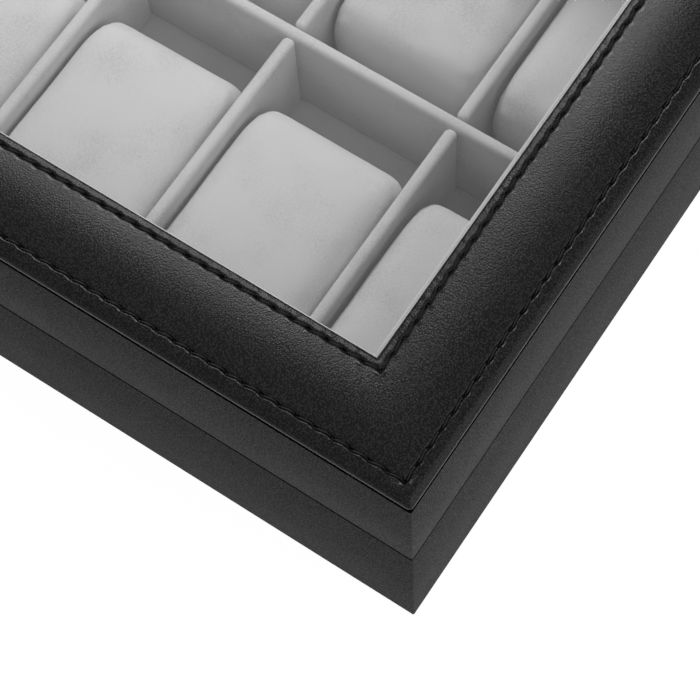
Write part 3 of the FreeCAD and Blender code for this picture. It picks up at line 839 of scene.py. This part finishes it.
# %% Shape the block for one pillow
PILLOW_SHRINK = 0.9 * MM
PILLOW_END_ROUND = 12 * MM
PILLOW_EDGE_ROUND = 3.8 * MM
pillow_low, pillow_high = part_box("watch_pillow_1")


def runs_across(edge):
    """Whether an edge goes from one side of the pillow to the other, along X."""
    return abs(edge.verts[0].co.x - edge.verts[1].co.x) > MERGE_DISTANCE


def pillow_block():
    """A block round the origin, with large rounds at its strap ends and small ones along its sides."""
    half = (pillow_high - pillow_low) / 2 - Vector((PILLOW_SHRINK,) * 3)
    form = bmesh.new()
    add_block(form, -half, half)
    ends = [edge for edge in form.edges if runs_across(edge)]
    round_off(form, ends, PILLOW_END_ROUND, segments=8)
    rims = [edge for edge in form.edges if not runs_across(edge)]
    round_off(form, rims, PILLOW_EDGE_ROUND, segments=4)
    mesh = bpy.data.meshes.new("pillow_block")
    form.to_mesh(mesh)
    form.free()
    block = bpy.data.objects.new("pillow_block", mesh)
    bpy.context.collection.objects.link(block)
    return block


block = pillow_block()
print("the pillow's block has", len(block.data.polygons), "faces")

# %% [markdown]
# ## The stuffing
# Real stuffing pushes the velvet out from within, and a cloth simulation with pressure does the same. The
# cloth needs even faces, so the block is remeshed first. A cap on the movement keeps the pillow in its
# slot.

# %% Blow up the pillow
PILLOW_VOXEL = 3 * MM
CLOTH_PRESSURE = 5
CLOTH_FRAMES = 20
CLOTH_CAP = 2.5 * MM


def apply_modifiers(item):
    """Puts what the item's modifiers make into its own mesh, and takes the modifiers off."""
    graph = bpy.context.evaluated_depsgraph_get()
    mesh = bpy.data.meshes.new_from_object(item.evaluated_get(graph))
    item.modifiers.clear()
    item.data = mesh


def stuff(item):
    """Runs a cloth simulation on the item, with pressure from within and no gravity."""
    cloth = item.modifiers.new("stuffing", "CLOTH")
    cloth.settings.use_pressure = True
    cloth.settings.uniform_pressure_force = CLOTH_PRESSURE
    cloth.settings.effector_weights.gravity = 0
    cloth.point_cache.frame_end = CLOTH_FRAMES
    for number in range(1, CLOTH_FRAMES + 1):
        bpy.context.scene.frame_set(number)
    apply_modifiers(item)


def blow_up(item):
    """Remeshes an item into even cloth and blows it up, with every point's movement capped."""
    remesh = item.modifiers.new("even", "REMESH")
    remesh.mode = "VOXEL"
    remesh.voxel_size = PILLOW_VOXEL
    apply_modifiers(item)
    before = [vert.co.copy() for vert in item.data.vertices]
    stuff(item)
    moved = 0
    for vert, start in zip(item.data.vertices, before):
        step = vert.co - start
        if step.length > CLOTH_CAP:
            vert.co = start + step.normalized() * CLOTH_CAP
        moved = max(moved, (vert.co - start).length)
    print("the pillow swelled by up to", round(moved / MM, 2), "mm")


blow_up(block)

# %% [markdown]
# ## A pillow for every slot
# Simulating twelve pillows would take long and show little. One is copied to every slot instead, smoothed,
# and given a few shallow dents of its own by a noise that is shifted from pillow to pillow.

# %% Put a pillow in every slot
PILLOWS = 12
DENT = 0.25 * MM
DENT_SCALE = 60
DENT_SHIFT = 7.3


def fill_slot(number):
    """A copy of the pillow in its slot, inside the CAD pillow's box, with a few dents of its own."""
    low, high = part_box(f"watch_pillow_{number}")
    middle = (low + high) / 2
    form = bmesh.new()
    form.from_mesh(block.data)
    bmesh.ops.subdivide_edges(form, edges=form.edges[:], cuts=1, use_grid_fill=True, smooth=1.0)
    bmesh.ops.smooth_vert(form, verts=form.verts[:], factor=0.5, use_axis_x=True, use_axis_y=True,
                          use_axis_z=True)
    for vert in form.verts:
        dent = DENT * noise.noise(vert.co * DENT_SCALE + Vector((DENT_SHIFT * number, 0, 0)))
        place = middle + vert.co * (1 + dent / pillow_high.z)
        vert.co = [min(max(place[axis], low[axis]), high[axis]) for axis in range(3)]
    pillow = finish_piece(form, f"velvet_pillow_{number}", f"pillow_{number}", pillow_velvet,
                          [f"watch_pillow_{number}"])


for number in range(1, PILLOWS + 1):
    fill_slot(number)
bpy.data.objects.remove(block)

# %% [markdown]
# ## The glass
# The pane lies in the lid under the leather's inner edge. Its edges are ground to a narrow bevel, as
# every glazier does, so they catch a thin line of light.

# %% Set the glass
GLASS_BEVEL = 0.3 * MM
form = bmesh.new()
add_block(form, *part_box("glass_pane"))
round_off(form, form.edges[:], GLASS_BEVEL, segments=1)
finish_piece(form, "window_glass", "lid", clear_glass, ["glass_pane"])

# %% [markdown]
# ## What stays from the CAD model
# Boards, felt and fittings already have their right shapes, so they stay and only get a finish. The wall
# boards get leatherette, which is folded over their rims, the rails that lie on the glass get velvet, and
# the floor board stays bare. Everything else that stays is a metal fitting.

# %% Finish the CAD nodes
KEPT_FINISHES = {"board": side_leatherette, "rail": slot_velvet, "floor": fibre_board, "felt": foot_felt}
kept = []
for name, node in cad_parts.items():
    if node.hide_render:
        continue
    finish = nickel
    for word, made in KEPT_FINISHES.items():
        if word in name:
            finish = made
    node.data.materials.clear()
    node.data.materials.append(finish)
    kept.append(name)
print("kept from the CAD model:", kept)
